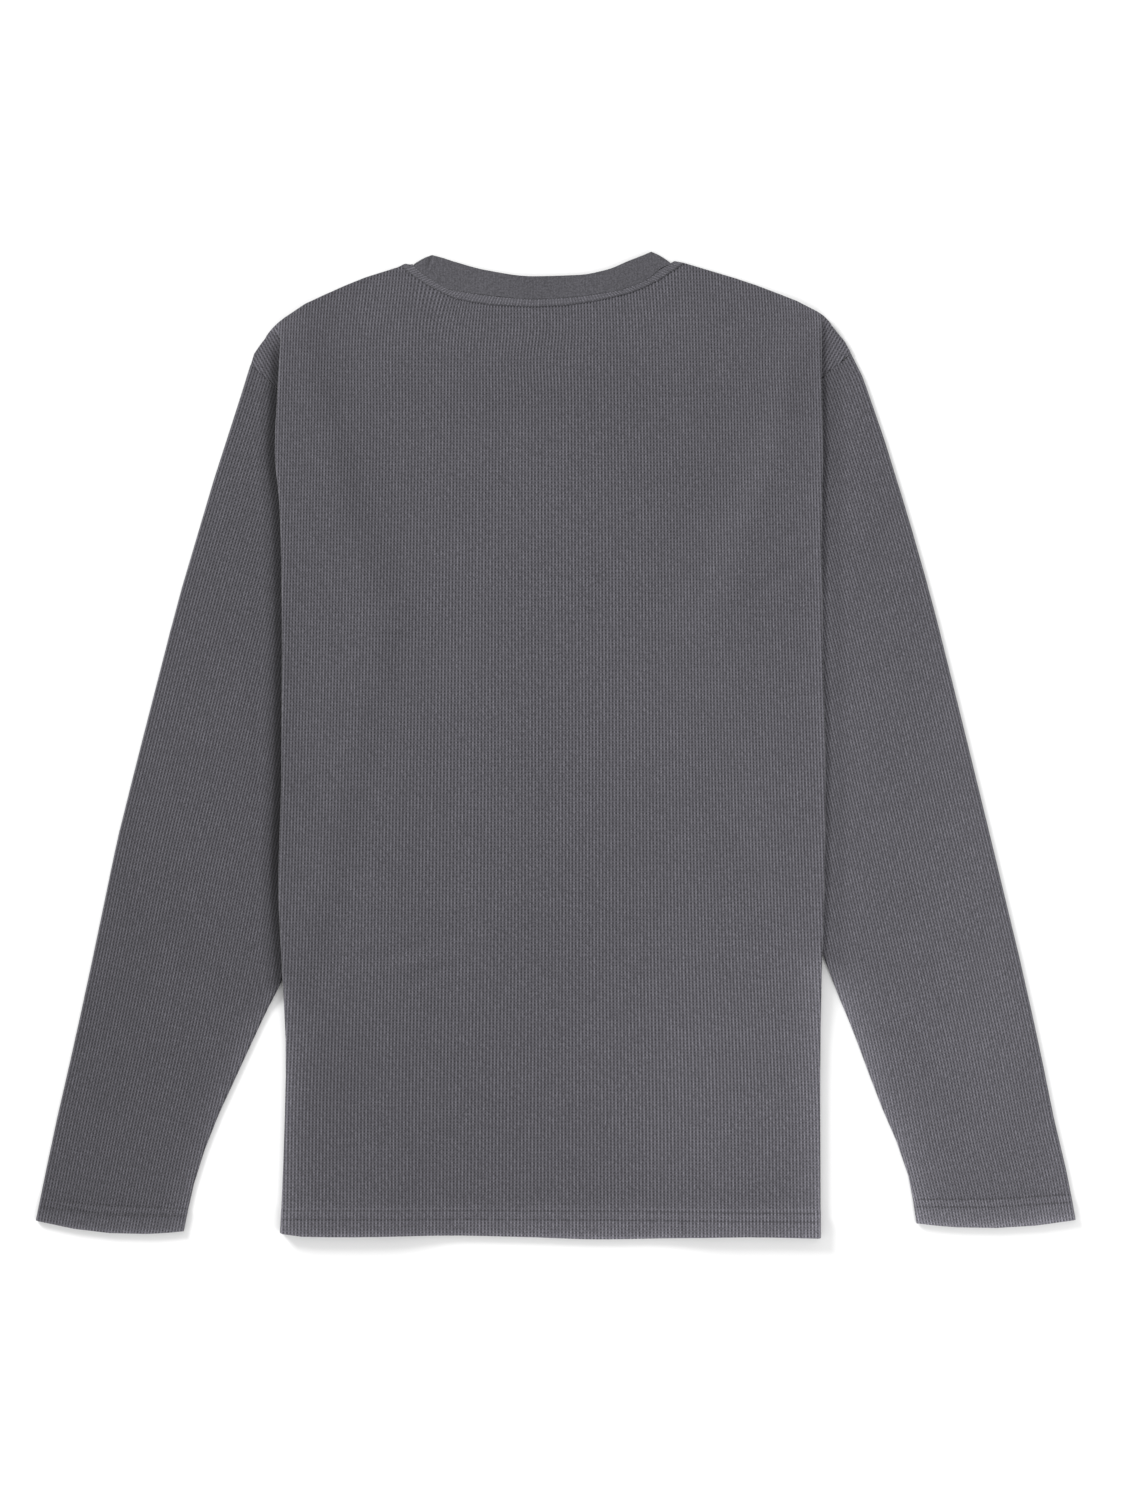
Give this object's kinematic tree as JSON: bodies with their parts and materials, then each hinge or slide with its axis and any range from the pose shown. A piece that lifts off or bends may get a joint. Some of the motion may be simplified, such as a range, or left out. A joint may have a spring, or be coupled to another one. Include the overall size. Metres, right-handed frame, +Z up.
{
  "type": "thermal top",
  "caption": "Long-sleeved crew-neck waffle-knit thermal top lying flat on its front, sides tucked in and sleeves down beside the body.",
  "frame": {"origin": "middle of the flat underside's bounding box, on the surface that the top lies on", "axes": "+X across the body toward the wearer's right sleeve, +Y from hem to neckband, +Z up out of the surface, with the garment's back uppermost"},
  "size_m": [0.75, 0.7118, 0.0087],
  "materials": {
    "waffle_knit": "matt",
    "rib_knit": "matt"
  },
  "bodies": {
    "root": {"back_panel": "waffle_knit", "front_panel": "waffle_knit", "sleeve_left": "waffle_knit", "sleeve_right": "waffle_knit", "neckband": "rib_knit"}
  },
  "joints": []
}
